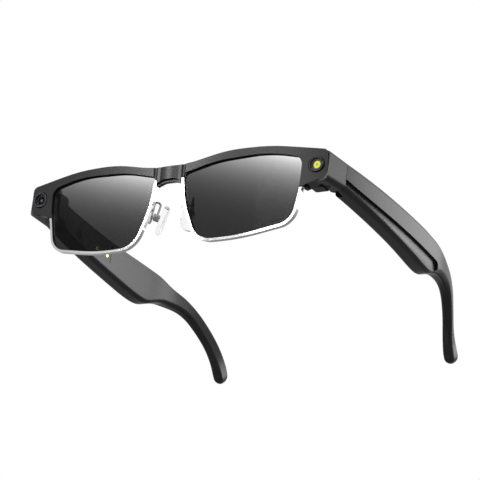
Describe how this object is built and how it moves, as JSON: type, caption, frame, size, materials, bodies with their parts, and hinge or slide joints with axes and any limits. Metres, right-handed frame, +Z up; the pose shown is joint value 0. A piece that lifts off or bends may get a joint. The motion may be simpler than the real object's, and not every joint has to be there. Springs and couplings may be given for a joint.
{
  "type": "smart glasses",
  "caption": "Rectangular half-rim smart glasses with tinted lenses, a camera and a light in the endpieces, deep temples that fold, and adjustable nose pads.",
  "frame": {"origin": "bottom centre of the whole object with the temples open, on the plane it rests on", "axes": "+X towards the wearer's left, +Y backwards along the temples, +Z up"},
  "size_m": [0.1516, 0.1552, 0.0391],
  "materials": {
    "black_shell": "fine satin moulded",
    "lens_tint": "polished, dark above and paler below",
    "silver_metal": "polished",
    "dark_metal": "satin black",
    "bezel_black": "gloss",
    "clear_glass": "coated",
    "yellow_emitter": "waxy",
    "bright_cup": "bright",
    "clear_pad": "soft clear",
    "battery_foil": "foil",
    "board": "solder mask",
    "grille_metal": "matt",
    "black_part": "matt",
    "gold": "polished",
    "magnet": "nickel",
    "button_black": "satin"
  },
  "bodies": {
    "front": {"front_frame": "black_shell", "bridge_bar": "dark_metal", "rim_screws": "silver_metal", "cover_screws": "dark_metal", "hinge_leaf_screws": "dark_metal", "pad_screws": "silver_metal", "light_bezel": "bezel_black", "light_window": "clear_glass", "light_reflector": "bright_cup", "light_emitter": "yellow_emitter", "light_barrel": "bezel_black", "light_board": "board", "camera_bezel": "bezel_black", "camera_window": "clear_glass", "camera_barrel": "bezel_black", "camera_glass": "clear_glass", "camera_board": "board", "lens_left": "lens_tint", "lens_right": "lens_tint", "rim_wire_left": "silver_metal", "rim_wire_right": "silver_metal", "endpiece_cover_left": "black_shell", "endpiece_cover_right": "black_shell", "hinge_front_left": "dark_metal", "hinge_front_right": "dark_metal", "hinge_screw_left": "dark_metal", "hinge_screw_right": "dark_metal", "pad_box_left": "silver_metal", "pad_box_right": "silver_metal", "nose_arm_left": "silver_metal", "nose_arm_right": "silver_metal"},
    "temple_left": {"temple_shell_left": "black_shell", "temple_panel_left": "black_shell", "hinge_temple_left": "dark_metal", "battery_left": "battery_foil", "light_driver": "board", "speaker_left": "black_part", "speaker_grille_left": "grille_metal", "button_switch_left": "black_part"},
    "temple_right": {"temple_shell_right": "black_shell", "temple_panel_right": "black_shell", "hinge_temple_right": "dark_metal", "battery_right": "battery_foil", "main_board": "board", "speaker_right": "black_part", "speaker_grille_right": "grille_metal", "button_switch_right": "black_part", "charging_contacts": "gold", "charging_magnet": "magnet"},
    "power_button": {"power_button": "button_black"},
    "capture_button": {"capture_button": "button_black"},
    "nose_pad_left": {"nose_pad_left": "clear_pad"},
    "nose_pad_right": {"nose_pad_right": "clear_pad"}
  },
  "joints": [
    {"name": "temple_left_fold", "type": "hinge", "parent": "front", "child": "temple_left", "pos_m": [0.0665, -0.05539, 0.02927], "axis": [0, 0, 1], "range_deg": [0, 90]},
    {"name": "temple_right_fold", "type": "hinge", "parent": "front", "child": "temple_right", "pos_m": [-0.0665, -0.05539, 0.02927], "axis": [0, 0, 1], "range_deg": [-76, 0]},
    {"name": "nose_pad_left_rock", "type": "hinge", "parent": "front", "child": "nose_pad_left", "pos_m": [0.00836, -0.06956, 0.0154], "axis": [0.5, 0.866, 0], "range_deg": [-8, 8]},
    {"name": "nose_pad_right_rock", "type": "hinge", "parent": "front", "child": "nose_pad_right", "pos_m": [-0.00836, -0.06956, 0.0154], "axis": [-0.5, 0.866, 0], "range_deg": [-8, 8]},
    {"name": "power_button_press", "type": "slide", "parent": "temple_left", "child": "power_button", "axis": [0, 0, -1], "range_m": [0, 0.00035], "stiffness_N_per_m": 400},
    {"name": "capture_button_press", "type": "slide", "parent": "temple_right", "child": "capture_button", "axis": [0, 0, -1], "range_m": [0, 0.00035], "stiffness_N_per_m": 400}
  ]
}
